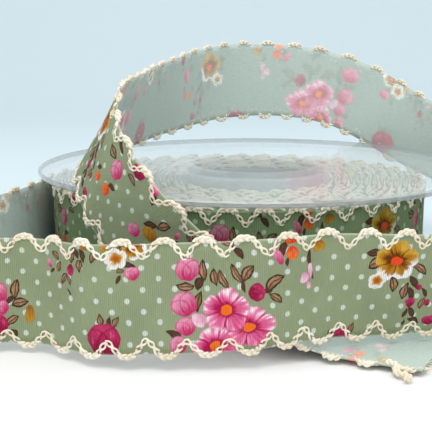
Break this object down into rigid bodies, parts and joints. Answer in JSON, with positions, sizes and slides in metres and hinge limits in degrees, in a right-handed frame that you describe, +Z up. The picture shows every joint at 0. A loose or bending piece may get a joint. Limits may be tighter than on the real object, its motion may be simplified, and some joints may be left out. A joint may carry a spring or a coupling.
{
  "type": "ribbon roll on spool",
  "caption": "Clear flanged spool lying flat with a wound roll of floral scallop-edged ribbon, its loose end looped round the spool and over the top flange.",
  "frame": {"origin": "middle of the part's floor plan, on the surface it stands on", "axes": "+Z up along the spool's axis, -Y towards the ribbon run that stands in front, +X to the right of it"},
  "size_m": [0.1538, 0.1426, 0.063],
  "materials": {
    "clear_plastic": "gloss",
    "printed_ribbon": "matte",
    "edging_thread": "matte"
  },
  "bodies": {
    "root": {"spool_lower_flange": "clear_plastic", "spool_upper_flange": "clear_plastic", "spool_core": "clear_plastic", "ribbon_roll": "printed_ribbon", "ribbon_loose": "printed_ribbon"}
  },
  "joints": []
}
